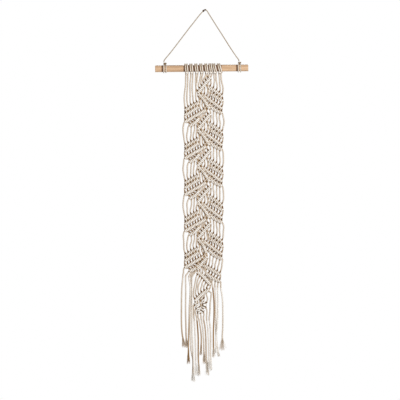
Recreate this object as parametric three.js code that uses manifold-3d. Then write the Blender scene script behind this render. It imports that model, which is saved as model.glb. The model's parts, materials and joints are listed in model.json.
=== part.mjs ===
// Macrame leaf-vine wall hanging: a wooden dowel on a twine hanger, eight folded
// cotton cords tied on with lark's heads and knotted into a vine with leaves.
// Millimetres, +Z up. The viewer stands on the -Y side and the wall is on the +Y side.
// The origin is where the nail touches the underside of the hanger's apex.
import * as THREE from 'three';
import { mergeVertices } from 'three/addons/utils/BufferGeometryUtils.js';
import Module from 'manifold-3d';

// ---- Driving dimensions -------------------------------------------------------------
const twineDiameter = 3;
const cordDiameter = 4;
const gap = 0.35;

const dowelDiameter = 17;
const dowelLength = 233;
const dowelCentre = [-9.8, 0, -144.8];
const dowelTilt = THREE.MathUtils.degToRad(0.6);
const dowelChamfer = 0.6;

const headOffsets = [-37.9, -25.6, -13.1, -0.7, 11.8, 22.6, 32.4, 45];
const headWidth = 2 * cordDiameter + 2 * gap;
const headBar = [-6.2, -10.6];
const headNeckDrop = 15.2;

const hitchWidth = 9.5;
const hitchOffsets = [-92.1, 94.3];
const hitchKnotRadius = 3;

const period = 91;
const panelTop = -161.5;
const foldTop = -284;
const lastFold = -690;
const foldCount = 4;
const knotThickness = 3 * cordDiameter;
const rowHalfWidth = 5.2;
const foldClearance = 2.2;

const cotton = { color: 0xe8e0d6, roughness: 0.92, metalness: 0 };
const twine = { color: 0xb5a48e, roughness: 0.9, metalness: 0 };
const wood = { color: 0xd2aa80, roughness: 0.6, metalness: 0 };

// ---- Tools for solids ---------------------------------------------------------------
const wasm = await Module();
wasm.setup();

function toManifold(geometry) {
  const bare = geometry.index ? geometry.toNonIndexed() : geometry.clone();
  bare.deleteAttribute('normal');
  bare.deleteAttribute('uv');
  const merged = mergeVertices(bare, 1e-4);
  return new wasm.Manifold(new wasm.Mesh({
    numProp: 3,
    vertProperties: new Float32Array(merged.attributes.position.array),
    triVerts: new Uint32Array(merged.index.array),
  }));
}

function toGeometry(solid) {
  const mesh = solid.getMesh();
  const geometry = new THREE.BufferGeometry();
  geometry.setAttribute('position', new THREE.BufferAttribute(mesh.vertProperties, 3));
  geometry.setIndex(new THREE.BufferAttribute(mesh.triVerts, 1));
  return geometry;
}

function joined(geometries) {
  const solids = geometries.map(toManifold);
  return toGeometry(solids.reduce((sum, solid) => sum.add(solid)));
}

// A flat plate: an outline in x and z, centred on y = 0.
function plate(outline, thickness) {
  const shape = new THREE.Shape(outline.map(([x, z]) => new THREE.Vector2(x, z)));
  const geometry = new THREE.ExtrudeGeometry(shape, { depth: thickness, bevelEnabled: false, steps: 1 });
  geometry.rotateX(Math.PI / 2);
  geometry.translate(0, thickness / 2, 0);
  return geometry;
}

// A smooth closed outline through a few corner points.
function smoothOutline(points, samples = 28) {
  const corners = points.map(([x, z]) => new THREE.Vector3(x, 0, z));
  const curve = new THREE.CatmullRomCurve3(corners, true, 'centripetal');
  return curve.getSpacedPoints(samples).slice(0, samples).map((p) => [p.x, p.z]);
}

// Keeps the part of an outline that lies between two heights.
function clipOutline(outline, low, high) {
  const keepBelow = (points, limit, sign) => {
    const kept = [];
    points.forEach((point, i) => {
      const next = points[(i + 1) % points.length];
      const inside = sign * (limit - point[1]) >= 0;
      const nextInside = sign * (limit - next[1]) >= 0;
      if (inside) kept.push(point);
      if (inside !== nextInside) {
        const t = (limit - point[1]) / (next[1] - point[1]);
        kept.push([point[0] + t * (next[0] - point[0]), limit]);
      }
    });
    return kept;
  };
  return keepBelow(keepBelow(outline, high, 1), low, -1);
}

// The outline of a band of even width along a bent centreline.
function bandOutline(centreline, halfWidth) {
  const left = [];
  const right = [];
  centreline.forEach((point, i) => {
    const before = centreline[Math.max(i - 1, 0)];
    const after = centreline[Math.min(i + 1, centreline.length - 1)];
    const dx = after[0] - before[0];
    const dz = after[1] - before[1];
    const scale = halfWidth / Math.hypot(dx, dz);
    left.push([point[0] - dz * scale, point[1] + dx * scale]);
    right.push([point[0] + dz * scale, point[1] - dx * scale]);
  });
  return left.concat(right.reverse());
}

// A round cord along a smooth curve, as an eight-sided tube.
function cordTube(points, diameter, stepLength) {
  const curve = new THREE.CatmullRomCurve3(points.map((p) => new THREE.Vector3(...p)), false, 'centripetal');
  const sides = 8;
  const section = new THREE.Shape();
  for (let i = 0; i < sides; i += 1) {
    const angle = (i + 0.5) * 2 * Math.PI / sides;
    const x = diameter / 2 * Math.cos(angle);
    const y = diameter / 2 * Math.sin(angle);
    if (i === 0) section.moveTo(x, y);
    else section.lineTo(x, y);
  }
  const steps = Math.ceil(curve.getLength() / stepLength);
  return new THREE.ExtrudeGeometry(section, { steps, bevelEnabled: false, extrudePath: curve });
}

const hanging = new THREE.Group();

function addPiece(name, geometry, finish, parent = hanging) {
  const mesh = new THREE.Mesh(geometry, new THREE.MeshStandardMaterial(finish));
  mesh.name = name;
  parent.add(mesh);
  return mesh;
}

// ---- Dowel, lark's heads and hitches, all on the dowel's slightly tilted axis -------
const dowelFrame = new THREE.Group();
dowelFrame.position.set(...dowelCentre);
dowelFrame.rotation.y = -dowelTilt;
hanging.add(dowelFrame);

function makeDowel() {
  const radius = dowelDiameter / 2;
  const half = dowelLength / 2;
  const profile = [
    [0, -half],
    [radius - dowelChamfer, -half],
    [radius, -half + dowelChamfer],
    [radius, half - dowelChamfer],
    [radius - dowelChamfer, half],
    [0, half],
  ];
  const geometry = new THREE.LatheGeometry(profile.map(([r, y]) => new THREE.Vector2(r, y)), 32);
  geometry.rotateZ(-Math.PI / 2);
  addPiece('dowel', geometry, wood, dowelFrame);
}

// A ring round the dowel, of a given cord thickness and width along the dowel.
function ringOnDowel(thickness, width, segments) {
  const inner = dowelDiameter / 2 + gap;
  const outer = inner + thickness;
  const profile = [
    [inner, -width / 2],
    [outer, -width / 2],
    [outer, width / 2],
    [inner, width / 2],
    [inner, -width / 2],
  ];
  const geometry = new THREE.LatheGeometry(profile.map(([r, y]) => new THREE.Vector2(r, y)), segments);
  geometry.rotateZ(-Math.PI / 2);
  return geometry;
}

// A lark's head: two wraps over the dowel, the loop's bar across the lower front, and
// the two strands that hang out from behind the bar.
function makeLarksHead(offset, index) {
  const bar = new THREE.CylinderGeometry(cordDiameter / 2, cordDiameter / 2, headWidth, 10);
  bar.rotateZ(Math.PI / 2);
  bar.translate(0, ...headBar);
  const neckTop = dowelDiameter / 2 + cordDiameter / 4;
  const neck = new THREE.BoxGeometry(headWidth, cordDiameter, headNeckDrop - neckTop);
  neck.translate(0, 0, -(headNeckDrop + neckTop) / 2);
  const geometry = joined([ringOnDowel(cordDiameter, headWidth, 24), bar, neck]);
  geometry.translate(offset, 0, 0);
  addPiece(`larks_head_${index + 1}`, geometry, cotton, dowelFrame);
}

// The hanger's end: two turns of twine round the dowel with a small knot on top.
function makeHitch(name, offset) {
  const knot = new THREE.SphereGeometry(hitchKnotRadius, 12, 8);
  knot.scale(1.1, 0.8, 0.9);
  knot.translate(0, 0, dowelDiameter / 2 + gap + twineDiameter);
  const geometry = joined([ringOnDowel(twineDiameter, hitchWidth, 24), knot]);
  geometry.translate(offset, 0, 0);
  addPiece(name, geometry, twine, dowelFrame);
}

makeDowel();
headOffsets.forEach(makeLarksHead);
makeHitch('hitch_left', hitchOffsets[0]);
makeHitch('hitch_right', hitchOffsets[1]);

// ---- Hanger: one length of twine from hitch to hitch, over the nail -----------------
const hangerRoute = [
  [-104.5, 0, -129.9],
  [-103.8, 0, -126],
  [-101, 0, -121.5],
  [-91, 0, -109.5],
  [-76, 0, -90.5],
  [-60, 0, -69.5],
  [-44, 0, -48.5],
  [-28, 0, -28],
  [-15, 0, -11.5],
  [-9, 0, -4.8],
  [-3.5, 0, 0.5],
  [0, 0, 1.5],
  [3, 0, -0.6],
  [7.5, 0, -7.5],
  [20, 0, -27.5],
  [34, 0, -49.5],
  [48, 0, -71.5],
  [62, 0, -93.5],
  [76, 0, -114.5],
  [82, 0, -122.3],
  [83.8, 0, -127.6],
];
addPiece('hanging_cord', cordTube(hangerRoute, twineDiameter, 7.5), twine);

// ---- Knotted panel, one tier of pattern after another -------------------------------
// The vine zigzags down the middle. Each tier has one leaf to the left and one to the
// right. Outlines are those of the first tier and repeat one period lower each time.
const tierCount = foldCount + 1;
const vineLeftTurn = [[-21, -200], [-21, -212]];
const vineRightTurn = [[9, -248], [8, -257.5]];
const vineMiddle = -6;
const leftLeaf = [
  [-23.5, -222],
  [-38, -230.5],
  [-55, -241],
  [-57, -262],
  [-53, -276],
  [-40, -281],
  [-27, -274],
  [-6, -252],
  [-9, -238],
];
const rightLeaf = [
  [8, -182],
  [26, -192],
  [43, -206],
  [46, -226],
  [43, -246],
  [37, -254.5],
  [22, -246],
  [4, -229],
  [-9, -213],
  [-5, -200],
];
const lastRightLeaf = [
  [-1, -636],
  [20, -640],
  [38, -650],
  [39, -666],
  [33, -680],
  [20, -676],
  [4, -666],
  [-7, -650],
];
const vineEnd = [
  [5, -694.5],
  [12.5, -697],
  [12, -703],
  [0, -716],
  [5.5, -733],
  [-5, -750],
  [-16.5, -765],
  [-25, -752],
  [-31, -737],
  [-29.5, -721],
  [-14, -706.5],
];
const strandsLeft = { left: -57, right: -29, lowLeft: -235, lowRight: -217 };
const strandsRight = { left: 17, right: 46, topLeft: -248, shoulder: 37, topRight: -260 };
const lastStrandsRight = { lowLeft: -268, lowRight: -283 };

function shifted(points, tier) {
  return points.map(([x, z]) => [x, z - period * tier]);
}

// Height of the fold below a tier, and of the fold above it.
function foldBelow(tier) {
  return tier < foldCount ? foldTop - period * tier : lastFold;
}

function foldAbove(tier) {
  return tier === 0 ? panelTop : foldBelow(tier - 1);
}

function betweenFolds(outline, tier, clearance = foldClearance) {
  return clipOutline(outline, foldBelow(tier) + clearance, foldAbove(tier) - clearance);
}

// The vine through one tier: in from the upper right, out to the left turn, across to
// the right turn and back towards the next tier's left turn.
function vineCentreline(tier) {
  const [leftIn, leftOut] = vineLeftTurn;
  const [rightIn, rightOut] = vineRightTurn;
  const upperMiddle = [vineMiddle, (rightOut[1] + period + leftIn[1]) / 2];
  const lowerMiddle = [vineMiddle, (leftOut[1] + rightIn[1]) / 2];
  const top = [rightOut[0], rightOut[1] + period];
  const route = [top, upperMiddle, leftIn, leftOut, lowerMiddle, rightIn, rightOut];
  const nextTier = shifted([upperMiddle, leftIn, leftOut, lowerMiddle, rightIn], 1);
  const isLast = tier === tierCount - 1;
  return shifted(route.concat(isLast ? nextTier : nextTier.slice(0, 2)), tier);
}

function cutAway(outline, obstacles, thickness) {
  const cutters = obstacles.map((obstacle) => toManifold(plate(obstacle, thickness + 2)));
  const whole = toManifold(plate(outline, thickness));
  return toGeometry(cutters.reduce((rest, cutter) => rest.subtract(cutter), whole));
}

function makeTier(tier) {
  const number = tier + 1;
  const vine = betweenFolds(bandOutline(vineCentreline(tier), rowHalfWidth), tier);
  const vineRoom = [bandOutline(vineCentreline(tier), rowHalfWidth + gap)];
  const left = betweenFolds(smoothOutline(shifted(leftLeaf, tier)), tier);
  const right = betweenFolds(smoothOutline(shifted(rightLeaf, tier)), tier);
  addPiece(`vine_${number}`, plate(vine, knotThickness), cotton);
  addPiece(`leaf_left_${number}`, cutAway(left, vineRoom, knotThickness), cotton);
  addPiece(`leaf_right_${number}`, cutAway(right, vineRoom, knotThickness), cotton);
}

// Free strands between the leaves, as thin plates one cord thick.
function makeStrandsLeft(tier) {
  const edge = strandsLeft;
  const drop = -period * tier;
  const top = foldAbove(tier) - 1;
  const outline = [
    [edge.left, top],
    [edge.right, top],
    [edge.right, edge.lowRight + drop],
    [edge.left, edge.lowLeft + drop],
  ];
  addPiece(`strands_left_${tier + 1}`, plate(outline, cordDiameter), cotton);
}

function makeStrandsRight(tier) {
  const edge = strandsRight;
  const drop = -period * tier;
  const isLast = tier === tierCount - 1;
  const fold = foldBelow(tier) + 1;
  const outline = [
    [edge.left, isLast ? lastStrandsRight.lowLeft + drop : fold],
    [edge.right, isLast ? lastStrandsRight.lowRight + drop : fold],
    [edge.right, edge.topRight + drop],
    [edge.shoulder, edge.topRight + drop],
    [edge.left, edge.topLeft + drop],
  ];
  addPiece(`strands_right_${tier + 2}`, plate(outline, cordDiameter), cotton);
}

for (let tier = 0; tier < tierCount; tier += 1) {
  makeTier(tier);
  makeStrandsLeft(tier);
  makeStrandsRight(tier);
}

// The strands that fall from the lark's heads to the first rows, and those inside the
// last turn of the vine.
const firstStrandsTop = panelTop - 2;
const firstStrandsRight = [
  [17, firstStrandsTop],
  [46, firstStrandsTop],
  [46, -200],
  [30, -187],
  [17, -179],
];
const firstStrandsCentre = [[-25, firstStrandsTop], [-25, -192], [-2, firstStrandsTop]];
const lastStrandsTop = lastFold - 1.5;
const lastStrandsCentre = [[-27, lastStrandsTop], [-27, -710], [-6, lastStrandsTop]];
addPiece('strands_right_1', plate(firstStrandsRight, cordDiameter), cotton);
addPiece('strands_centre_1', plate(firstStrandsCentre, cordDiameter), cotton);
addPiece('strands_centre_2', plate(lastStrandsCentre, cordDiameter), cotton);

const lastVineRoom = [bandOutline(vineCentreline(tierCount - 1), rowHalfWidth + gap)];
const lastLeaf = cutAway(smoothOutline(lastRightLeaf), lastVineRoom, knotThickness);
addPiece(`leaf_right_${tierCount + 1}`, lastLeaf, cotton);
addPiece('vine_end', plate(smoothOutline(vineEnd, 36), knotThickness), cotton);

// ---- Fringe: sixteen loose cord ends, lying in two layers ---------------------------
const fringeLayer = 2.3;
const tailDiameter = cordDiameter - 0.2;
const tails = [
  [[-57, -660], [-59.5, -700], [-60.3, -745], [-60, -790], [-57, -820], [-52.5, -843]],
  [[-50, -660], [-49.5, -700], [-50, -750], [-49, -794], [-48.5, -820], [-47, -844]],
  [[-42, -661], [-38.4, -690], [-38.8, -712], [-40.4, -740], [-41, -770], [-43, -835], [-43, -884]],
  [[-37.5, -661], [-35.6, -692], [-37, -760], [-38, -804], [-36, -850], [-31.5, -876], [-33.5, -927]],
  [[-33.5, -662], [-34.5, -700], [-34.5, -755], [-33.3, -804], [-31, -860], [-28.5, -930]],
  [[-28, -772], [-26.8, -795], [-25.6, -820], [-24.6, -865], [-23.5, -914]],
  [[-21.5, -772], [-19.8, -795], [-18.4, -820], [-18.2, -870], [-15.8, -916]],
  [[-16, -772], [-12.8, -795], [-10.6, -820], [-12.6, -862]],
  [[-10, -772], [-6.8, -795], [-4.8, -825], [-4, -855], [-2, -886]],
  [[-4.5, -772], [-1, -795], [0.8, -825], [2, -870], [7, -914]],
  [[3, -772], [6, -795], [7.4, -825], [8, -865], [9.5, -896]],
  [[9.5, -772], [12, -795], [12.8, -825], [12.4, -865], [14, -902]],
  [[17.5, -690], [21, -730], [21, -765], [19.6, -800], [19.6, -835], [19.8, -868]],
  [[24, -691], [25.2, -730], [25.4, -780], [27.6, -825], [32.5, -866]],
  [[30, -691], [31.5, -733], [29.8, -775], [27, -815], [24.6, -858]],
  [[38, -689], [42.5, -725], [43, -790], [41.8, -820], [45.5, -849]],
];

tails.forEach((route, i) => {
  const layer = i % 2 === 0 ? -fringeLayer : fringeLayer;
  const points = route.map(([x, z]) => [x, layer, z]);
  const name = `tail_${String(i + 1).padStart(2, '0')}`;
  addPiece(name, cordTube(points, tailDiameter, 3 * cordDiameter), cotton);
});

export default hanging;
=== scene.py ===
"""Macrame leaf-vine wall hanging: how it looks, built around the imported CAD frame.

Sixteen strands of three-ply cotton cord hang from eight lark's heads on a wooden
dowel. Rows of double half hitches make a zigzag vine with a leaf on each side in
turn, and the strands end in a frayed fringe. Every strand is one continuous path
from its lark's head to its frayed tip, cut into pieces only where the bodies part.
Lengths in this file are in millimetres until a mesh is made, +Z up, front at -Y.
"""

import json
import math

import bpy
import numpy as np
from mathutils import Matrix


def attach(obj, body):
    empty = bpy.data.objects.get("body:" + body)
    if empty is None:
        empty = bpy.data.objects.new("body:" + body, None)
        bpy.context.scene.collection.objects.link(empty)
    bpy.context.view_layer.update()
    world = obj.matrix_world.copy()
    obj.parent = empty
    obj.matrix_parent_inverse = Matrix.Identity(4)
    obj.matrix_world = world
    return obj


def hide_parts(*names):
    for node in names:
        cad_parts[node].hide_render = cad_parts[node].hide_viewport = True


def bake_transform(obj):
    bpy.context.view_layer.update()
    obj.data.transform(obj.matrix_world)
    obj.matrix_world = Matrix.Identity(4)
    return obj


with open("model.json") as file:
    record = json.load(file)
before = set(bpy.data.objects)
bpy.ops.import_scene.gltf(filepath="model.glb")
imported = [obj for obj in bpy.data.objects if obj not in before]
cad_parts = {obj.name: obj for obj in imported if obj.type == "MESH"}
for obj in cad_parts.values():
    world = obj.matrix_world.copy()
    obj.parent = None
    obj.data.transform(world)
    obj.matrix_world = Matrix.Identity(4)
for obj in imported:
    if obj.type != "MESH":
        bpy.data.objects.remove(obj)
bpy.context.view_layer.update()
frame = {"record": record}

MM = 0.001
RNG = np.random.default_rng(11)

# ---- Sizes, from the frame where it has them ----------------------------------------
JOINTS = {joint["name"]: joint for joint in frame["record"]["behaviour"]["joints"]}
DOWEL_CENTRE = np.array(JOINTS["dowel_roll"]["pos_m"]) / MM
DOWEL_AXIS = np.array(JOINTS["dowel_roll"]["axis"], float)
DOWEL_UP = np.array([-DOWEL_AXIS[2], 0.0, DOWEL_AXIS[0]])
DOWEL_RADIUS = 8.5
DOWEL_HALF = 116.5
CORD = 4.0
TWINE = 3.0
TWINE_LAY = 9.0
CORD_LAY = 13.0
WRAP_RADIUS = CORD * 0.98
PERIOD = 91.0
STRANDS = 16
HEAD_PLACES = [-37.9, -25.6, -13.1, -0.7, 11.8, 22.6, 32.4, 45.0]
HEAD_LEANS = [1.0, 1.2, 1.4, 1.5, 1.6, 1.6, 2.4, 2.8]
RING_STEP = 1.25


def joint_height(name):
    return JOINTS[name]["pos_m"][2] / MM


FOLDS = [joint_height("panel_swing")] + [joint_height(f"panel_fold_{i}") for i in range(1, 6)]

# ---- Camera: straight on, as in the photograph --------------------------------------
VIEW_CENTRE = (-0.014, -0.474)
VIEW_HEIGHT = 1.0


def make_camera():
    data = bpy.data.cameras.new("camera")
    data.type = "ORTHO"
    data.ortho_scale = VIEW_HEIGHT
    data.clip_end = 20
    camera = bpy.data.objects.new("camera", data)
    camera.location = (VIEW_CENTRE[0], -3.0, VIEW_CENTRE[1])
    camera.rotation_euler = (math.radians(90), 0, 0)
    bpy.context.collection.objects.link(camera)
    bpy.context.scene.camera = camera


make_camera()


# ---- Materials ----------------------------------------------------------------------
class Nodes:
    """A small helper that adds shader nodes and links them by name."""

    def __init__(self, name):
        self.material = bpy.data.materials.new(name)
        self.material.use_nodes = True
        self.tree = self.material.node_tree
        self.tree.nodes.clear()
        self.output = self.add("ShaderNodeOutputMaterial")
        self.shader = self.add("ShaderNodeBsdfPrincipled")
        self.link(self.shader, "BSDF", self.output, "Surface")

    def add(self, kind, **settings):
        node = self.tree.nodes.new(kind)
        for key, value in settings.items():
            setattr(node, key, value)
        return node

    def link(self, source, out, target, into):
        self.tree.links.new(source.outputs[out], target.inputs[into])

    def attribute(self, name):
        return self.add("ShaderNodeAttribute", attribute_name=name, attribute_type="GEOMETRY")

    def noise(self, source, out, scale, detail, stretch=(1, 1, 1)):
        mapping = self.add("ShaderNodeMapping")
        mapping.inputs["Scale"].default_value = stretch
        self.link(source, out, mapping, "Vector")
        noise = self.add("ShaderNodeTexNoise")
        noise.inputs["Scale"].default_value = scale
        noise.inputs["Detail"].default_value = detail
        self.link(mapping, "Vector", noise, "Vector")
        return noise

    def ramp(self, source, out, stops):
        ramp = self.add("ShaderNodeValToRGB")
        elements = ramp.color_ramp.elements
        while len(elements) < len(stops):
            elements.new(0.5)
        for element, (place, colour) in zip(elements, stops):
            element.position = place
            element.color = (*colour, 1)
        self.link(source, out, ramp, "Fac")
        return ramp

    def multiply(self, first, first_out, second, second_out):
        mix = self.add("ShaderNodeMix", data_type="RGBA", blend_type="MULTIPLY")
        mix.inputs[0].default_value = 1.0
        self.tree.links.new(first.outputs[first_out], mix.inputs[6])
        self.tree.links.new(second.outputs[second_out], mix.inputs[7])
        return mix

    def bump(self, source, out, strength, distance):
        bump = self.add("ShaderNodeBump")
        bump.inputs["Strength"].default_value = strength
        bump.inputs["Distance"].default_value = distance
        self.link(source, out, bump, "Height")
        self.link(bump, "Normal", self.shader, "Normal")


def make_yarn_material(name, stops, roughness, sheen):
    """Spun yarn: colour from the painted shade in the shade attribute, with fine fibres along each ply."""
    n = Nodes(name)
    painted_shade = n.attribute("shade")
    fibre = n.attribute("fibre")
    colour = n.ramp(painted_shade, "Fac", stops)
    strands = n.noise(fibre, "Vector", 1.0, 4, (0.35, 5.0, 1.0))
    streaks = n.ramp(strands, "Fac", [(0.3, (0.86, 0.83, 0.79)), (0.62, (1, 1, 1))])
    patches = n.noise(fibre, "Vector", 0.07, 2, (1.0, 0.0, 1.0))
    tint = n.ramp(patches, "Fac", [(0.35, (0.93, 0.9, 0.86)), (0.6, (1, 1, 1))])
    toned = n.multiply(colour, "Color", streaks, "Color")
    final = n.multiply(toned, 2, tint, "Color")
    n.tree.links.new(final.outputs[2], n.shader.inputs["Base Color"])
    n.shader.inputs["Roughness"].default_value = roughness
    n.shader.inputs["Sheen Weight"].default_value = sheen
    n.shader.inputs["Sheen Roughness"].default_value = 0.5
    n.shader.inputs["Specular IOR Level"].default_value = 0.12
    n.bump(strands, "Fac", 0.6, 0.0004)
    return n.material


def make_wood_material():
    """Plain sanded softwood with long fine grain, darker at the ends, and with painted shade near the cords
    and along its top edge.
    """
    n = Nodes("dowel_wood")
    place = n.add("ShaderNodeTexCoord")
    grain = n.noise(place, "Object", 1.0, 6, (9, 420, 420))
    fine = n.noise(place, "Object", 1.0, 3, (60, 2600, 2600))
    colour = n.ramp(grain, "Fac", [
        (0.30, (0.40, 0.245, 0.135)),
        (0.48, (0.58, 0.385, 0.235)),
        (0.70, (0.70, 0.49, 0.32)),
    ])
    pores = n.ramp(fine, "Fac", [(0.32, (0.78, 0.72, 0.66)), (0.5, (1, 1, 1))])
    toned = n.multiply(colour, "Color", pores, "Color")
    # The wood's darkening attribute holds darker end grain and also painted shade: near the cords and in a
    # thin line along the top edge.
    ends = n.attribute("end_grain_and_painted_shade")
    end_grain_and_shade_tone = n.ramp(ends, "Fac", [(0.0, (1, 1, 1)), (1.0, (0.17, 0.078, 0.025))])
    final = n.multiply(toned, 2, end_grain_and_shade_tone, "Color")
    n.tree.links.new(final.outputs[2], n.shader.inputs["Base Color"])
    n.shader.inputs["Roughness"].default_value = 0.62
    n.shader.inputs["Specular IOR Level"].default_value = 0.3
    n.bump(fine, "Fac", 0.35, 0.0003)
    return n.material


def make_floor_material():
    n = Nodes("studio_floor")
    n.shader.inputs["Base Color"].default_value = (0.86, 0.86, 0.86, 1)
    n.shader.inputs["Roughness"].default_value = 0.9
    return n.material


# The ramps turn painted shade into colour: dark brown deep in shade, off-white where fully lit.
COTTON = make_yarn_material("cotton_cord", [
    (0.0, (0.21, 0.097, 0.02)),
    (0.3, (0.335, 0.195, 0.08)),
    (0.5, (0.505, 0.38, 0.252)),
    (0.65, (0.66, 0.58, 0.492)),
    (0.85, (0.89, 0.866, 0.828)),
    (1.0, (0.985, 0.98, 0.97)),
], 0.9, 0.04)
TWINE_FIBRE = make_yarn_material("hanger_twine", [
    (0.0, (0.13, 0.052, 0.002)),
    (0.2, (0.22, 0.12, 0.035)),
    (0.4, (0.36, 0.29, 0.21)),
    (0.7, (0.55, 0.47, 0.37)),
    (1.0, (0.98, 0.95, 0.90)),
], 0.9, 0.15)
WOOD = make_wood_material()


# ---- Curves -------------------------------------------------------------------------
def unit(vector):
    return vector / max(np.linalg.norm(vector), 1e-9)


def hermite(start, start_pull, end, end_pull, count):
    t = np.linspace(0, 1, count)[:, None]
    a = 2 * t ** 3 - 3 * t ** 2 + 1
    b = t ** 3 - 2 * t ** 2 + t
    c = -2 * t ** 3 + 3 * t ** 2
    d = t ** 3 - t ** 2
    return a * start + b * start_pull + c * end + d * end_pull


def arc_lengths(points):
    steps = np.linalg.norm(np.diff(points, axis=0), axis=1)
    return np.concatenate([[0.0], np.cumsum(steps)])


def resample(points, values, step):
    """Evenly spaced points along a polyline, with a value carried along it."""
    arc = arc_lengths(points)
    keep = np.concatenate([[True], np.diff(arc) > 1e-9])
    arc, points, values = arc[keep], points[keep], values[keep]
    count = max(int(round(arc[-1] / step)), 2) + 1
    place = np.linspace(0, arc[-1], count)
    even = np.stack([np.interp(place, arc, points[:, i]) for i in range(3)], axis=1)
    return even, np.interp(place, arc, values)


def smooth(points, passes):
    for _ in range(passes):
        inner = 0.25 * points[:-2] + 0.5 * points[1:-1] + 0.25 * points[2:]
        points = np.concatenate([points[:1], inner, points[-1:]])
    return points


def through(controls, step):
    """A smooth curve through a few points, in even steps."""
    controls = np.array(controls, float)
    pulls = np.zeros_like(controls)
    pulls[1:-1] = (controls[2:] - controls[:-2]) / 2
    pulls[0] = controls[1] - controls[0]
    pulls[-1] = controls[-1] - controls[-2]
    runs = []
    for i in range(len(controls) - 1):
        length = np.linalg.norm(controls[i + 1] - controls[i])
        first = unit(pulls[i]) * length
        last = unit(pulls[i + 1]) * length
        runs.append(hermite(controls[i], first, controls[i + 1], last, 12)[:-1])
    runs.append(controls[-1:])
    points = np.concatenate(runs)
    return resample(points, np.ones(len(points)), step)[0]


def frames_along(points):
    """Two sideways directions at each point that don't twist about the curve."""
    tangents = np.gradient(points, axis=0)
    tangents /= np.maximum(np.linalg.norm(tangents, axis=1), 1e-9)[:, None]
    side = np.cross(tangents[0], [0.0, 1.0, 0.0])
    if np.linalg.norm(side) < 0.1:
        side = np.cross(tangents[0], [1.0, 0.0, 0.0])
    sides = [unit(side)]
    for i in range(1, len(points)):
        moved = sides[-1] - tangents[i] * np.dot(sides[-1], tangents[i])
        sides.append(unit(moved))
    sides = np.array(sides)
    return sides, np.cross(tangents, sides)


# ---- Crevices: painted shade in the deep gaps between one knot and the next ---------
CREVICES = []
CREVICE_WIDTH = 1.75
CREVICE_HEIGHT = 2.6
CREVICE_REACH = 7.0
CREVICE_LIFT = 5.6
CREVICE_BACK = 5.0
CREVICE_FADE = 2.4


def add_crevices(at, length, knots, above, below):
    """Marks painted shade where each strand goes in above its knot and comes out below it."""
    for number in range(knots):
        middle, tangent = at(np.array([(number + 0.5) * length / knots]))
        up = row_up(tangent)[0]
        for side, strength in ((1, above), (-1, below)):
            CREVICES.append((middle[0] + side * CREVICE_LIFT * up, tangent[0], up, strength))


def crevice_light(vertices):
    """How much light the painted shade leaves at each vertex, from 1 in the open to 0 deep in a gap."""
    light = np.ones(len(vertices))
    order = np.argsort(vertices[:, 2])
    heights = vertices[order, 2]
    for point, along, up, strength in CREVICES:
        low = np.searchsorted(heights, point[2] - CREVICE_REACH)
        high = np.searchsorted(heights, point[2] + CREVICE_REACH)
        near = order[low:high]
        offset = vertices[near] - point
        spread = (offset @ along / CREVICE_WIDTH) ** 2 + (offset @ up / CREVICE_HEIGHT) ** 2
        in_front = np.clip((CREVICE_BACK - vertices[near, 1]) / CREVICE_FADE, 0, 1)
        light[near] *= 1 - strength * in_front * np.exp(-spread)
    return light


# ---- Meshes of twisted cord ---------------------------------------------------------
class MeshParts:
    """Collects tubes into one mesh, with the attributes that the yarn material reads."""

    def __init__(self):
        self.vertices = []
        self.faces = []
        self.shades = []
        self.fibres = []
        self.count = 0

    def add_rings(self, rings, shades, fibres):
        """rings is steps x sides x 3. Each end is closed with a face of its own."""
        steps, sides = rings.shape[:2]
        first = self.count
        index = first + np.arange(steps * sides).reshape(steps, sides)
        turned = np.roll(index, -1, axis=1)
        quads = np.stack([index[:-1], turned[:-1], turned[1:], index[1:]], axis=-1)
        self.faces.extend(quads.reshape(-1, 4).tolist())
        self.vertices.append(rings.reshape(-1, 3))
        self.shades.append(shades.reshape(-1))
        self.fibres.append(fibres.reshape(-1, 3))
        self.count += steps * sides
        for row, flip in ((0, True), (steps - 1, False)):
            self.vertices.append(rings[row])
            self.shades.append(shades[row])
            self.fibres.append(fibres[row])
            rim = [self.count + side for side in range(sides)]
            self.faces.append(rim[::-1] if flip else rim)
            self.count += sides

    def build(self, name, material):
        mesh = bpy.data.meshes.new(name)
        vertices = np.concatenate(self.vertices) * MM
        mesh.from_pydata(vertices.tolist(), [], self.faces)
        mesh.polygons.foreach_set("use_smooth", [True] * len(mesh.polygons))
        shade = mesh.attributes.new("shade", "FLOAT", "POINT")
        light = np.concatenate(self.shades) * crevice_light(vertices / MM)
        shade.data.foreach_set("value", light.astype(np.float32))
        fibre = mesh.attributes.new("fibre", "FLOAT_VECTOR", "POINT")
        fibre.data.foreach_set("vector", np.concatenate(self.fibres).astype(np.float32).ravel())
        mesh.materials.append(material)
        piece = bpy.data.objects.new(name, mesh)
        bpy.context.collection.objects.link(piece)
        return piece


# Painted shade on every cord: darker in the grooves between plies, strongly along the left side and lightly
# along the right, as if lit from the right; the rear side keeps at least REAR_TONE.
REAR_TONE = 1.0
LEFT_SHADE = 0.78
RIGHT_SHADE = 0.32
SIDES_PER_PLY = 4


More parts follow.
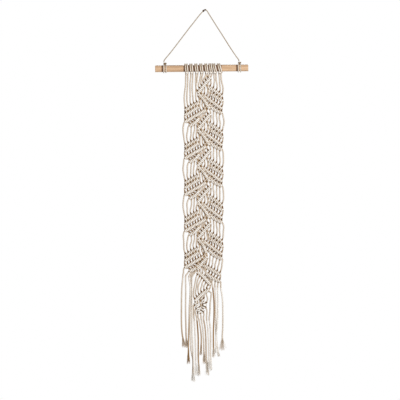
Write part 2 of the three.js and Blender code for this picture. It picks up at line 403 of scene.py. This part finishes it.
def add_cord(parts, points, sides_u, sides_v, arcs, shade, radius, plies, lay, mark, back_tone):
    """A cord of twisted plies: a lobed section that turns once in each lay length.
    Its painted shade is kept off its rear side, which is never in the gaps of the front: that side keeps at
    least back_tone."""
    count = plies * SIDES_PER_PLY
    turn = np.arange(count) * 2 * math.pi / count
    lobe = np.abs(np.cos(turn * plies / 2))
    groove = 0.82 + 0.18 * lobe ** 0.7
    twist = 2 * math.pi * arcs / lay
    angle = turn[None, :] + twist[:, None]
    size = radius[:, None] * groove[None, :]
    rings = (points[:, None, :]
             + (np.cos(angle) * size)[:, :, None] * sides_u[:, None, :]
             + (np.sin(angle) * size)[:, :, None] * sides_v[:, None, :])
    # Painted shade: darker in the ply grooves, and along the sides, most on the left.
    painted_shade = 0.66 + 0.34 * lobe
    sideways = (rings[:, :, 0] - points[:, None, 0]) / radius[:, None]
    edge = LEFT_SHADE * np.clip(-sideways, 0, 1) ** 1.5 + RIGHT_SHADE * np.clip(sideways, 0, 1) ** 2
    rearward = np.clip((rings[:, :, 1] - points[:, None, 1]) / radius[:, None], 0, 1)
    tone = shade[:, None] + np.maximum(back_tone - shade, 0)[:, None] * rearward
    shades = tone * painted_shade[None, :] * (1 - edge)
    fibres = np.zeros((len(points), count, 3))
    fibres[:, :, 0] = arcs[:, None]
    fibres[:, :, 1] = np.sin(turn)[None, :]
    fibres[:, :, 2] = mark + np.cos(turn)[None, :]
    parts.add_rings(rings, shades, fibres)


class CordLine:
    """A finished centreline with its frames, so that cut pieces meet without a seam."""

    def __init__(self, points, shade, mark, step=RING_STEP):
        dense, shade = resample(np.array(points), np.array(shade), step / 2)
        dense = smooth(dense, 6)
        self.points, self.shade = resample(dense, shade, step)
        self.u, self.v = frames_along(self.points)
        self.arcs = arc_lengths(self.points)
        self.mark = mark

    def add_to(self, parts, first, last, diameter, plies=3, lay=CORD_LAY, taper=0, back_tone=0.0):
        part = slice(first, last + 1)
        radius = np.full(last + 1 - first, diameter / 2)
        if taper:
            radius[-taper:] *= np.linspace(1, 0.55, taper)
        add_cord(parts, self.points[part], self.u[part], self.v[part], self.arcs[part],
                 self.shade[part], radius, plies, lay, self.mark, back_tone)

    def length(self, first, last):
        return self.arcs[last] - self.arcs[first]


# ---- Rows of double half hitches ----------------------------------------------------
FRONT = np.array([0.0, -1.0, 0.0])
DOWN = np.array([0.0, 0.0, -1.0])


def row_up(tangents):
    """The direction across a row, in its plane and upwards."""
    up = np.cross(tangents, FRONT)
    return np.where(up[..., 2:3] < 0, -up, up)


def row_line(controls):
    """A row's middle line in x and z, as a function of the way along it."""
    points = through([(x, 0.0, z) for x, z in controls], 0.5)
    arc = arc_lengths(points)
    tangents = np.gradient(points, axis=0)

    def at(place):
        place = np.asarray(place, float)
        inside = np.clip(place, 0, arc[-1])
        point = np.stack([np.interp(inside, arc, points[:, i]) for i in range(3)], axis=-1)
        tangent = np.stack([np.interp(inside, arc, tangents[:, i]) for i in range(3)], axis=-1)
        tangent /= np.linalg.norm(tangent, axis=-1, keepdims=True)
        point = point + tangent * (place - inside)[..., None]
        return point, tangent

    return at, arc[-1]


HEAD_SHADOW = 0.75
FREE_SHADE = 0.86
CORE_SHADE = 0.12
POINT_SPACING = 0.8
LONGEST_PULL = 45.0
SHORTEST_SWAY = 16.0
ENTRY_FADE = 5.5
EXIT_FADE = 3.5


class Strand:
    """One strand: the knots it passes through from top to bottom, then its free end."""

    def __init__(self, number, start):
        self.number = number
        self.points = [np.array([start])]
        self.shades = [np.array([HEAD_SHADOW])]
        self.heading = DOWN.copy()
        self.looseness = 1.0
        self.last_knot = 0

    def go_to(self, point, heading, slack=1.0, sway=0.0, entry_shade=1.0):
        """A free stretch from where the strand is to a point, on a smooth curve."""
        start = self.points[-1][-1]
        span = np.linalg.norm(point - start)
        pull = min(span, LONGEST_PULL) * slack
        count = max(int(span / POINT_SPACING), 6)
        run = hermite(start, self.heading * pull * self.looseness, point, heading * pull, count)
        self.looseness = 1.0
        t = np.linspace(0, 1, count)
        if span > SHORTEST_SWAY:
            bend = sway * np.sin(math.pi * t) ** 2
            wave = np.sin(2 * math.pi * (t * RNG.uniform(0.8, 1.7) + RNG.uniform()))
            run[:, 0] += bend * wave
            run[:, 1] += 0.6 * bend * np.sin(2 * math.pi * (t * 1.2 + RNG.uniform()))
        # Painted shade: darker where the strand goes into a knot and where it comes out of one.
        near_end = np.clip((t - 1) * span / ENTRY_FADE + 1, 0, 1) ** 0.8
        near_start = np.clip(1 - t * span / EXIT_FADE, 0, 1)
        start_shade = self.shades[-1][-1]
        shade = FREE_SHADE - (FREE_SHADE - entry_shade) * near_end - (FREE_SHADE - start_shade) * near_start
        self.append(run[1:], np.clip(shade, 0, 1)[1:], heading)

    def append(self, points, shades, heading=None):
        self.points.append(points)
        self.shades.append(shades)
        if heading is None:
            heading = unit(points[-1] - points[-2])
        self.heading = heading

    def size(self):
        return sum(len(part) for part in self.points)


FIRST_ANGLE = math.radians(325)
LAST_ANGLE = math.radians(-490)
KNOT_POINTS = 76
KNOT_SHADE = 0.69
KNOT_FACING_SHADE = 0.5
OUTER_PASS = 1.7
WRAP_HALF_GAP = 0.235
TOP_SPREAD = 0.22


def ease(t):
    return t * t * (3 - 2 * t)


def tie_knot(strand, at, place, pitch, above):
    """A double half hitch: down behind the row, then two turns round its core."""
    angle = np.linspace(FIRST_ANGLE, LAST_ANGLE, KNOT_POINTS)
    turn = np.degrees(angle)
    first_wrap = np.clip((285 - turn) / 90, 0, 1)
    crossing = np.clip((-10 - turn) / 160, 0, 1)
    leaving = np.clip((-370 - turn) / 100, 0, 1)
    side = -ease(first_wrap) + 2 * ease(crossing) - ease(leaving)
    spread = 1 + TOP_SPREAD * np.clip(np.cos(angle), 0, 1) ** 2
    along = place + pitch * WRAP_HALF_GAP * side * spread
    middle, tangent = at(along)
    up = row_up(tangent)
    outer = ease(np.clip((turn - 180) / 75, 0, 1))
    radius = WRAP_RADIUS * (1 + (OUTER_PASS - 1) * outer)
    radius *= 1 + 0.03 * RNG.standard_normal()
    points = middle + radius[:, None] * (np.cos(angle)[:, None] * up + np.sin(angle)[:, None] * FRONT)
    # Painted shade: each turn lighter where it faces the front and darker where it faces back.
    shade = np.clip(KNOT_SHADE + KNOT_FACING_SHADE * np.sin(angle), 0.1, 1.12)
    heading = unit(points[1] - points[0])
    strand.go_to(points[0], heading, slack=0.9, sway=0.9, entry_shade=max(1 - above, 0.08))
    strand.append(points[1:], shade[1:])
    strand.last_knot = strand.size()


def lay_core(strand, at, length):
    """The strand that a row is tied round. It hardly shows, and only in shadow."""
    place = np.linspace(0, length, max(int(length), 8))
    points, tangents = at(place)
    strand.go_to(points[0], tangents[0], slack=0.9, sway=0.7, entry_shade=0.6)
    strand.append(points[1:], np.full(len(points) - 1, CORE_SHADE))
    strand.looseness = 0.5
    strand.last_knot = strand.size()


def tie_row(order, strands, first, last, controls, depths):
    """Takes the strand at place first of the order across to place last."""
    at, length = row_line(controls)
    step = 1 if last > first else -1
    crossed = list(range(first + step, last + step, step))
    pitch = length / len(crossed)
    above, below = depths
    add_crevices(at, length, len(crossed), above, below)
    for knot, place in enumerate(crossed):
        tie_knot(strands[order[place]], at, (knot + 0.5) * pitch, pitch, above)
    lay_core(strands[order[first]], at, length)
    core = order.pop(first)
    order.insert(last, core)


# The rows of one tier, at the first tier's heights: two places in the order, then the
# middle line, then how deep the painted shade is in the gaps along the upper and lower edges.
DARKEST_GAP_SHADE = 0.97
VINE_LEFT = (11, 5, [(12, -167), (-4, -186.5), (-19.5, -206.5)], (DARKEST_GAP_SHADE, 0.5))
VINE_RIGHT = (5, 11, [(-18.5, -209.5), (-6, -221), (9.5, -246)], (0.5, 0.9))
RIGHT_LEAF = [
    (10, 15, [(5, -190.5), (24, -202), (41, -216)], (0.8, 0.3)),
    (11, 15, [(13, -209), (28, -217.5), (43, -227)], (0.85, 0.3)),
    (7, 15, [(-9.5, -210), (14, -227), (40.5, -246)], (DARKEST_GAP_SHADE, 0.3)),
    (10, 15, [(8, -233.5), (18, -245), (41, -257)], (0.9, 0.3)),
]
LEFT_LEAF = [
    (5, 0, [(-16.5, -230.5), (-34, -239.5), (-51.5, -250)], (DARKEST_GAP_SHADE, 0.3)),
    (5, 0, [(-18.5, -240.5), (-34, -251), (-51.5, -261.5)], (0.9, 0.3)),
    (8, 0, [(0.5, -248.5), (-26, -263.5), (-52, -278.5)], (DARKEST_GAP_SHADE, 0.3)),
    (5, 1, [(-16.5, -268.5), (-26, -280), (-41, -288)], (0.95, 0.3)),
]
TIERS = 5


def lowered(row, tier):
    first, last, controls, depths = row
    return first, last, [(x, z - PERIOD * tier) for x, z in controls], depths


def pattern_rows():
    """Every row from top to bottom, with the last tier's narrower, shorter rows."""
    rows = []
    for tier in range(TIERS):
        rows.append(lowered(VINE_LEFT, tier))
        rows.extend(lowered(row, tier) for row in RIGHT_LEAF)
        is_last = tier == TIERS - 1
        right_turn = (5, 10, [(-18.5, -573.5), (-8, -583.5), (2, -606)], (0.5, 0.9))
        rows.append(right_turn if is_last else lowered(VINE_RIGHT, tier))
        rows.extend(lowered(row, tier) for row in LEFT_LEAF)
    rows.append((10, 5, [(3.5, -615.5), (-8, -630), (-21, -648.5)], (DARKEST_GAP_SHADE, 0.5)))
    rows.append((9, 15, [(-6, -636.5), (14, -648), (37, -661)], (0.9, 0.3)))
    rows.append((10, 15, [(1.5, -657), (16, -668), (37, -678)], (DARKEST_GAP_SHADE, 0.1)))
    rows.append((5, 11, [(-20.5, -653.5), (-6, -666), (12, -686)], (0.2, 0.9)))
    rows.append((11, 5, [(8.5, -697), (-9, -709), (-26.5, -726.5)], (DARKEST_GAP_SHADE, 0.2)))
    rows.append((8, 10, [(-12, -718), (-6, -726), (-2, -738)], (0.9, 0.7)))
    rows.append((5, 8, [(-26, -730), (-20, -743.5), (-14.5, -757)], (0.1, DARKEST_GAP_SHADE)))
    rows.append((10, 8, [(-1.5, -734), (-6, -745), (-12.5, -757)], (0.1, DARKEST_GAP_SHADE)))
    return rows


# ---- Tails: the loose ends, as in the CAD -------------------------------------------
FRINGE_LAYER = 2.3
TAILS = [
    [(-57, -667), (-59.5, -700), (-60.3, -745), (-60, -790), (-57, -820), (-52.5, -843)],
    [(-50, -667), (-49.5, -700), (-50, -750), (-49, -794), (-48.5, -820), (-47, -844)],
    [(-42, -667), (-38.4, -690), (-38.8, -712), (-40.4, -740), (-41, -770), (-43, -835), (-43, -884)],
    [(-37.5, -667), (-35.8, -692), (-37.2, -750), (-38, -804), (-36, -850), (-31.5, -876), (-33.5, -927)],
    [(-33.5, -667), (-34.2, -700), (-33.2, -750), (-33.5, -804), (-31, -860), (-28.5, -930)],
    [(-28, -775), (-26.8, -795), (-25.6, -820), (-24.6, -865), (-23.5, -914)],
    [(-21.5, -775), (-19.8, -795), (-18.4, -820), (-18.2, -870), (-15.8, -916)],
    [(-16, -775), (-12.8, -795), (-10.6, -820), (-12.6, -862)],
    [(-10, -775), (-6.8, -795), (-4.8, -825), (-4, -855), (-2, -886)],
    [(-4.5, -775), (-1, -795), (0.8, -825), (2, -870), (7, -914)],
    [(3, -775), (6, -795), (7.4, -825), (8, -865), (9.5, -896)],
    [(9.5, -775), (12, -795), (12.8, -825), (12.4, -865), (14, -902)],
    [(18, -693), (21, -730), (21, -765), (19.6, -800), (19.6, -835), (19.8, -868)],
    [(24, -693), (25.2, -730), (25.4, -780), (27.6, -825), (32.5, -866)],
    [(30, -693), (31.5, -733), (29.8, -775), (27, -815), (24.6, -858)],
    [(38, -693), (42.5, -725), (43, -790), (41.8, -820), (45.5, -849)],
]
FRINGES = [
    ("fringe_left", "tier_5", range(0, 5)),
    ("fringe_centre", "tier_6", range(5, 12)),
    ("fringe_right", "tier_5", range(12, 16)),
]
# For each tail: the length of its frayed tip, how far the fray spreads, and how light
# the strand is painted at its top, at its bottom and at the tip of the fray. The lower
# tones are painted shade.
TIPS = [
    (26, 4.6, 0.95, 0.55, 0.55), (24, 4.8, 1.00, 0.70, 0.64), (36, 3.8, 1.15, 0.36, 0.30),
    (18, 2.6, 1.15, 0.95, 0.95), (20, 2.6, 1.10, 1.05, 1.05), (36, 2.2, 1.12, 1.15, 1.15),
    (34, 3.6, 0.32, 0.60, 0.80), (22, 2.2, 0.95, 0.45, 0.65), (30, 4.8, 1.02, 0.72, 0.58),
    (40, 4.6, 0.68, 0.86, 0.72), (30, 3.0, 1.12, 1.00, 0.82), (34, 3.6, 1.10, 1.00, 0.84),
    (22, 3.8, 0.40, 0.45, 0.80), (14, 3.0, 1.15, 1.00, 0.80), (16, 2.4, 1.15, 1.10, 1.00),
    (27, 10.5, 1.10, 0.80, 0.56),
]


# ---- Strands ------------------------------------------------------------------------
def on_dowel(x, y, z):
    """A point given along the dowel, to the back and up, in the row frame."""
    return DOWEL_CENTRE + DOWEL_AXIS * x + np.array([0.0, y, 0.0]) + DOWEL_UP * z


HEAD_DROP = 13.6
HEAD_SPREAD = 2.35
HEAD_SHIFT = 0.7


def head_exit(middle, way):
    """Where one of a head's two strands leaves it, below the dowel. way is -1 or 1."""
    return on_dowel(middle + way * HEAD_SPREAD + HEAD_SHIFT, -0.3, -HEAD_DROP)


def weave():
    strands = []
    for number in range(STRANDS):
        start = head_exit(HEAD_PLACES[number // 2], 1 if number % 2 else -1)
        strands.append(Strand(number, start))
    order = list(range(STRANDS))
    for first, last, controls, depths in pattern_rows():
        tie_row(order, strands, first, last, controls, depths)
    return [strands[number] for number in order]


NESTED_TAIL = 3
NESTED_HEIGHTS = [-862, -825, -748, -700]
NESTED_LAYERS = [FRINGE_LAYER, -0.9, -0.9, FRINGE_LAYER]
LOOPED_STRAND = 11
LOOP = np.array([14.2, -1.0, -707.0])


def finish_strand(strand, place):
    """Adds the loose end and makes the strand's centreline."""
    if place == LOOPED_STRAND:
        strand.go_to(LOOP, DOWN, slack=0.9, entry_shade=FREE_SHADE)
    layer = -FRINGE_LAYER if place % 2 == 0 else FRINGE_LAYER
    tail = through(np.array([(x, layer, z) for x, z in TAILS[place]]), 1.0)
    if place == NESTED_TAIL:
        tail[:, 1] = np.interp(tail[:, 2], NESTED_HEIGHTS, NESTED_LAYERS)
    strand.go_to(tail[0], unit(tail[3] - tail[0]), slack=0.8, sway=0.8, entry_shade=FREE_SHADE)
    strand.append(tail[1:], np.linspace(TIPS[place][2], TIPS[place][3], len(tail) - 1))
    knot_point = np.concatenate(strand.points)[strand.last_knot - 1]
    line = CordLine(np.concatenate(strand.points), np.concatenate(strand.shades), strand.number)
    below = np.linalg.norm(line.points - knot_point, axis=1)
    line.tail_start = int(np.argmin(below)) + 2
    return line


LINES = [finish_strand(strand, place) for place, strand in enumerate(weave())]


def index_at_height(line, height):
    """The first ring of a line at or below a height."""
    return int(np.argmax(line.points[:, 2] <= height))


# ---- Pieces: tails first ------------------------------------------------------------
def add_yarn(parts, points, radius, shade, mark):
    """One thin loose yarn with four sides."""
    u, v = frames_along(points)
    turn = np.arange(4) * math.pi / 2
    size = radius * np.linspace(1, 0.45, len(points))[:, None]
    rings = (points[:, None, :]
             + (np.cos(turn)[None, :] * size)[:, :, None] * u[:, None, :]
             + (np.sin(turn)[None, :] * size)[:, :, None] * v[:, None, :])
    shades = np.repeat(shade[:, None], 4, axis=1)
    fibres = np.zeros((len(points), 4, 3))
    fibres[:, :, 0] = np.arange(len(points))[:, None]
    fibres[:, :, 2] = mark
    parts.add_rings(rings, shades, fibres)


YARNS_IN_FRAY = 48
FRAY_LEAD = 5.0


def make_fray(name, line, last, tip, place):
    """A brush of untwisted yarns that opens out below the end of a cord."""
    length, spread, _, root_tone, tip_tone = tip
    parts = MeshParts()
    root = line.points[last]
    heading = unit(line.points[last] - line.points[last - 6])
    for number in range(YARNS_IN_FRAY):
        around = RNG.uniform(0, 2 * math.pi)
        out = math.sqrt(RNG.uniform(0.02, 1.0))
        side = line.u[last] * math.cos(around) + line.v[last] * math.sin(around)
        reach = length * RNG.uniform(0.62, 1.0) ** 0.7
        steps = max(int(reach / 2.4), 7)
        t = np.linspace(0, 1, steps)[:, None]
        opening = CORD * 0.40 * out + spread * out * RNG.uniform(0.45, 1.1) * t ** 1.3
        wave = RNG.uniform(0.2, 0.9) * np.sin(2 * math.pi * (t * RNG.uniform(0.6, 1.8) + RNG.uniform()))
        drift = RNG.normal(0, 0.35, 3) * t ** 2 * spread * 0.4
        down = t * (reach + FRAY_LEAD) - FRAY_LEAD
        points = root + heading * down + side * (opening + wave * t) + drift
        # Painted shade along each yarn, from the strand's bottom tone at the root to the tip tone, with some
        # random tone.
        shade = root_tone * 0.85 + (tip_tone - root_tone * 0.85) * t[:, 0] + 0.1 * RNG.standard_normal()
        radius = RNG.uniform(0.25, 0.43)
        add_yarn(parts, points, radius, np.clip(shade, 0.2, 1.0), place * YARNS_IN_FRAY + number)
    return parts.build(name, COTTON)


def make_tails():
    for body, parent, places in FRINGES:
        for place in places:
            line = LINES[place]
            length = TIPS[place][0]
            name = f"tail_cord_{place + 1:02d}"
            last = len(line.points) - 1 - int(length / RING_STEP)
            parts = MeshParts()
            line.add_to(parts, line.tail_start, last, CORD, taper=3)
            tail = parts.build(name, COTTON)
            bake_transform(tail)
            fray = make_fray(f"tail_fray_{place + 1:02d}", line, last, TIPS[place], place)
            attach(fray, body)
            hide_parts(f"tail_{place + 1:02d}")
            line.length(line.tail_start, last) * MM


make_tails()

# ---- Hanger: twine from hitch to hitch, over the nail -------------------------------
HANGER_ROUTE = [
    (-104.5, 0, -129.9), (-103.8, 0, -126), (-101, 0, -121.5), (-91, 0, -109.5),
    (-76, 0, -90.5), (-60, 0, -69.5), (-44, 0, -48.5), (-28, 0, -28), (-15, 0, -11.5),
    (-9, 0, -4.8), (-3.5, 0, 0.5), (0, 0, 1.5), (3, 0, -0.6), (7.5, 0, -7.5),
    (20, 0, -27.5), (34, 0, -49.5), (48, 0, -71.5), (62, 0, -93.5), (76, 0, -114.5),
    (82, 0, -122.3), (83.8, 0, -127.6),
]
HANGER_SHADE = 0.72
# The wrap's two parts: from and to in x, and how thick they are against the twine.
APEX_WRAP = [(-7.0, -3.2, 2.0), (-3.2, 1.0, 1.6)]
APEX_WRAP_LAY = 2.6


def make_hanger():
    """The twine, with a short dark wrap just left of the place that hangs on the nail."""
    points = through(HANGER_ROUTE, 1.0)
    line = CordLine(points, np.full(len(points), HANGER_SHADE), 40, step=0.9)
    wrap = CordLine(points, np.zeros(len(points)), 41, step=0.9)
    parts = MeshParts()
    last = len(line.points) - 1
    line.add_to(parts, 0, last, TWINE * 0.96, plies=2, lay=TWINE_LAY)
    for start, end, thickness in APEX_WRAP:
        inside = np.flatnonzero((wrap.points[:, 0] > start) & (wrap.points[:, 0] < end))
        wrap.add_to(parts, inside[0], inside[-1], TWINE * thickness, plies=2, lay=APEX_WRAP_LAY)
    hanger = parts.build("hanger_cord", TWINE_FIBRE)
    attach(hanger, "hanger")
    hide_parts("hanging_cord")


make_hanger()


# ---- Hitches, lark's heads and dowel ------------------------------------------------
HITCH_LEFT, HITCH_RIGHT = -92.1, 94.3
HITCH_TURNS = 2.25
HITCH_PITCH = 5.8
HITCH_KNOT_SHADE = 0.36
HITCH_LEAD_SHADE = 0.45
HITCH_TURN_SHADE = 1.1


def make_hitch(name, node, place, way):
    """A little over two turns of twine round the dowel, with a small overhand knot on top."""
    radius = DOWEL_RADIUS + TWINE / 2 + 0.1
    t = np.linspace(0, 1, 90)
    angle = 2 * math.pi * HITCH_TURNS * t
    crossing = ease(np.clip((angle - 2 * math.pi) / math.pi, 0, 1))
    along = place + way * HITCH_PITCH * (crossing - 0.5)
    turns = np.array([on_dowel(x, radius * math.sin(a), radius * math.cos(a)) for x, a in zip(along, angle)])
    t = np.linspace(0, 2 * math.pi * 0.94, 40)
    knot_middle = on_dowel(place + 0.6, 0, radius + TWINE * 0.75)
    knot = np.stack([
        1.35 * (np.sin(t) + 1.5 * np.sin(2 * t)),
        1.2 * (-np.sin(3 * t)),
        1.1 * (np.cos(t) - 1.5 * np.cos(2 * t)),
    ], axis=1) + knot_middle
    lead = hermite(knot[-1], unit(knot[-1] - knot[-2]) * 4, turns[0], unit(turns[1] - turns[0]) * 4, 8)
    points = np.concatenate([knot, lead[1:-1], turns])
    tones = [HITCH_KNOT_SHADE, HITCH_LEAD_SHADE, HITCH_TURN_SHADE]
    shade = np.repeat(tones, [len(knot), len(lead) - 2, len(turns)])
    line = CordLine(points, shade, 50 + place, step=0.8)
    parts = MeshParts()
    line.add_to(parts, 0, len(line.points) - 1, TWINE * 0.92, plies=2, lay=TWINE_LAY)
    hitch = parts.build(name, TWINE_FIBRE)
    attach(hitch, "hanger")
    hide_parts(node)


make_hitch("hitch_wraps_left", "hitch_left", HITCH_LEFT, 1)
make_hitch("hitch_wraps_right", "hitch_right", HITCH_RIGHT, -1)


HEAD_SHADE = 0.66
HEAD_FACING_SHADE = 0.42
HEAD_GAP_SHADE = 0.42
HEAD_GAP_HEIGHTS = [8.5, 5.0, 1.5, -2.0, -5.5]


def make_larks_head(index):
    """A folded cord: its loop's bar in front, a wrap on each side, and both ends
    brought under the dowel and down behind the bar."""
    middle = HEAD_PLACES[index]
    lean = HEAD_LEANS[index]
    radius = DOWEL_RADIUS + CORD / 2 + 0.15
    half = []
    shades = []
    for way in (-1, 1):
        side = way * (2.25 + RNG.uniform(-0.1, 0.1))
        start = head_exit(middle, way)
        rising = on_dowel(middle + way * HEAD_SPREAD + 0.5, 0.2, -HEAD_DROP + 2.6)
        angle = np.radians(np.linspace(168, 490, 44))
        rise = np.cos(angle)
        across = middle + side - lean * rise
        wrap = [on_dowel(x, radius * math.sin(a), radius * math.cos(a)) for x, a in zip(across, angle)]
        bar_end = on_dowel(middle + way * 1.9 + 0.4, -6.6, -10.9)
        ring = np.concatenate([through([start, rising, wrap[0]], 1.0)[:-1], np.array(wrap)])
        end_pull = np.array([-way * 3.2, 0.6, -0.6])
        join = hermite(ring[-1], unit(ring[-1] - ring[-2]) * 5, bar_end, end_pull, 10)
        half.append(np.concatenate([ring, join[1:]]))
        # Painted shade: lighter where the cord faces the front, darker round the back, and its ends in
        # painted shadow.
        front = np.clip(-half[-1][:, 1] / radius, -1, 1)
        shade = np.clip(HEAD_SHADE + HEAD_FACING_SHADE * front, 0.3, 1.1)
        shade[:4] = HEAD_SHADOW
        shades.append(shade)
    bar_pull = np.array([3.5, 0, 0])
    bar = hermite(half[0][-1], bar_pull, half[1][-1], bar_pull, 8)
    points = np.concatenate([half[0], bar[1:-1], half[1][::-1]])
    shade = np.concatenate([shades[0], np.ones(len(bar) - 2), shades[1][::-1]])
    line = CordLine(points, shade, 70 + index, step=1.0)
    parts = MeshParts()
    line.add_to(parts, 0, len(line.points) - 1, CORD, back_tone=REAR_TONE)
    head = parts.build(f"larks_head_cord_{index + 1}", COTTON)
    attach(head, "dowel")
    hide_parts(f"larks_head_{index + 1}")


def make_larks_heads():
    """The eight heads, each with painted shade in the gap between its two wraps."""
    for index, middle in enumerate(HEAD_PLACES):
        # Painted shade down the gap between the head's two wraps.
        for rise in HEAD_GAP_HEIGHTS:
            gap = middle - HEAD_LEANS[index] * rise / DOWEL_RADIUS
            CREVICES.append((on_dowel(gap, -11.0, rise), DOWEL_AXIS, DOWEL_UP, HEAD_GAP_SHADE))
        make_larks_head(index)


make_larks_heads()

# The painted shade on the wood: from and to along the heads, and a narrow strip left of each hitch.
SHADED_RUN = (HEAD_PLACES[0] - 7.0, HEAD_PLACES[-1] + 4.5)
SHADED_STRIPS = (HITCH_LEFT - 6.2, HITCH_RIGHT - 6.0)
STRIP_HALF_WIDTH = 1.8
DOWEL_SIDES = 96
DOWEL_BEVEL = 0.9
DOWEL_SPANS = 160
DOWEL_END_TONE = 0.2


def cord_shade_on_wood(x):
    """How much painted shade a place along the dowel gets, between and beside the cords on it."""
    if SHADED_RUN[0] < x < SHADED_RUN[1]:
        return 0.95 - 0.03 * min(abs(x - place) for place in HEAD_PLACES)
    in_strip = min(abs(x - strip) for strip in SHADED_STRIPS) < STRIP_HALF_WIDTH
    return 0.85 if in_strip else 0.0


def wood_shade(x, angle):
    """How much painted shade the wood gets: near the cords, and in a thin line along its top edge."""
    top_edge_shade = 0.7 * max(0, 1 - abs(math.cos(angle) - 0.93) / 0.08)
    in_front = min(max(0.6 - math.sin(angle), 0), 1)
    return max(cord_shade_on_wood(x) * in_front, top_edge_shade)


def dowel_stations():
    """Places along the dowel with its radius there, from one rounded edge to the other."""
    edge = [(-DOWEL_HALF, DOWEL_RADIUS - DOWEL_BEVEL)]
    for step in range(1, 5):
        turn = step / 4 * math.pi / 2
        inward = DOWEL_BEVEL * (1 - math.cos(turn))
        outward = DOWEL_BEVEL * (1 - math.sin(turn))
        edge.append((-DOWEL_HALF + inward, DOWEL_RADIUS - outward))
    start = -DOWEL_HALF + DOWEL_BEVEL
    length = 2 * DOWEL_HALF - 2 * DOWEL_BEVEL
    barrel = [(start + length * i / DOWEL_SPANS, DOWEL_RADIUS) for i in range(1, DOWEL_SPANS)]
    return edge + barrel + [(-x, radius) for x, radius in reversed(edge)]


def dowel_faces(rows):
    """The faces round the dowel, then a fan over each end, whose middle comes after them."""
    faces = []
    for row in range(rows - 1):
        for side in range(DOWEL_SIDES):
            a = row * DOWEL_SIDES + side
            b = row * DOWEL_SIDES + (side + 1) % DOWEL_SIDES
            faces.append([b, a, a + DOWEL_SIDES, b + DOWEL_SIDES])
    for row, centre, flip in ((0, rows * DOWEL_SIDES, False), (rows - 1, rows * DOWEL_SIDES + 1, True)):
        for side in range(DOWEL_SIDES):
            a = row * DOWEL_SIDES + side
            b = row * DOWEL_SIDES + (side + 1) % DOWEL_SIDES
            faces.append([b, a, centre] if flip else [a, b, centre])
    return faces


def make_dowel():
    """The round stick, with sanded edges and slightly uneven sides."""
    vertices = []
    tones = []
    stations = dowel_stations()
    for x, radius in stations:
        for side in range(DOWEL_SIDES):
            angle = 2 * math.pi * side / DOWEL_SIDES
            wobble = 1 + 0.004 * math.sin(2 * angle + x * 0.03) + 0.003 * math.sin(5 * angle + x * 0.05)
            r = radius * wobble
            vertices.append(on_dowel(x, r * math.sin(angle), r * math.cos(angle)) * MM)
            # Painted shade on the wood near the cords and along its top edge.
            tones.append(wood_shade(x, angle))
    for x in (-DOWEL_HALF, DOWEL_HALF):
        vertices.append(on_dowel(x, 0, 0) * MM)
        tones.append(DOWEL_END_TONE)
    faces = dowel_faces(len(stations))
    mesh = bpy.data.meshes.new("dowel_stick")
    mesh.from_pydata([tuple(v) for v in vertices], [], faces)
    mesh.polygons.foreach_set("use_smooth", [len(face) == 4 for face in faces])
    end_grain_and_painted_shade = mesh.attributes.new("end_grain_and_painted_shade", "FLOAT", "POINT")
    end_grain_and_painted_shade.data.foreach_set("value", tones)
    mesh.materials.append(WOOD)
    dowel = bpy.data.objects.new("dowel_stick", mesh)
    bpy.context.collection.objects.link(dowel)
    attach(dowel, "dowel")
    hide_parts("dowel")


make_dowel()


# ---- Knotted panel: one piece for each fold it crosses ------------------------------
def tier_nodes(tier):
    """The CAD nodes that the piece across a tier's upper fold stands for."""
    if tier == 0:
        return ["vine_1", "strands_left_1", "strands_centre_1", "strands_right_1", "leaf_right_1"]
    nodes = [f"leaf_left_{tier}", f"strands_right_{tier + 1}", f"leaf_right_{tier + 1}"]
    if tier < TIERS:
        return nodes + [f"vine_{tier + 1}", f"strands_left_{tier + 1}"]
    return nodes + ["vine_end", "strands_centre_2"]


CUTS = [FOLDS[0] + 3.2] + [(FOLDS[i] + FOLDS[i + 1]) / 2 for i in range(5)]


def make_panel():
    for tier in range(len(FOLDS)):
        parts = MeshParts()
        for line in LINES:
            first = 0 if tier == 0 else index_at_height(line, CUTS[tier])
            end = line.tail_start
            last = end if tier == len(FOLDS) - 1 else min(index_at_height(line, CUTS[tier + 1]), end)
            if last > first:
                line.add_to(parts, first, last, CORD, back_tone=REAR_TONE)
        panel = parts.build(f"knotted_panel_{tier + 1}", COTTON)
        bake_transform(panel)
        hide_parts(*tier_nodes(tier))


make_panel()


# ---- Floor and light ----------------------------------------------------------------
def make_floor():
    mesh = bpy.data.meshes.new("floor")
    half = 6.0
    height = -1.25
    corners = [(-half, -half, height), (half, -half, height), (half, half, height), (-half, half, height)]
    mesh.from_pydata(corners, [], [(0, 1, 2, 3)])
    mesh.materials.append(make_floor_material())
    floor = bpy.data.objects.new("floor", mesh)
    bpy.context.collection.objects.link(floor)


LIGHT_AIM = np.array([-0.01, 0.0, -0.47])


def make_light(name, location, size, power):
    """A square soft light aimed at the middle of the hanging."""
    data = bpy.data.lights.new(name, "AREA")
    data.shape = "SQUARE"
    data.size = size
    data.energy = power
    light = bpy.data.objects.new(name, data)
    light.location = location
    aim = LIGHT_AIM - np.array(location)
    flat = math.hypot(aim[0], aim[1])
    light.rotation_euler = (math.atan2(flat, -aim[2]), 0, math.atan2(aim[1], aim[0]) - math.pi / 2)
    bpy.context.collection.objects.link(light)


FILL_LIGHT = 0.36


def make_world():
    """White behind the object for the camera, and a soft even light from all round."""
    world = bpy.data.worlds.new("studio")
    world.use_nodes = True
    tree = world.node_tree
    background = tree.nodes["Background"]
    background.inputs["Color"].default_value = (1, 1, 1, 1)
    rays = tree.nodes.new("ShaderNodeLightPath")
    strength = tree.nodes.new("ShaderNodeMapRange")
    strength.inputs["To Min"].default_value = FILL_LIGHT
    strength.inputs["To Max"].default_value = 1.0
    tree.links.new(rays.outputs["Is Camera Ray"], strength.inputs["Value"])
    tree.links.new(strength.outputs["Result"], background.inputs["Strength"])
    bpy.context.scene.world = world


make_floor()
make_world()
make_light("key", (0.9, -2.5, 0.6), 0.9, 68)
make_light("back", (-0.4, 2.8, 0.8), 1.2, 75)
bpy.context.scene.view_settings.view_transform = "Standard"
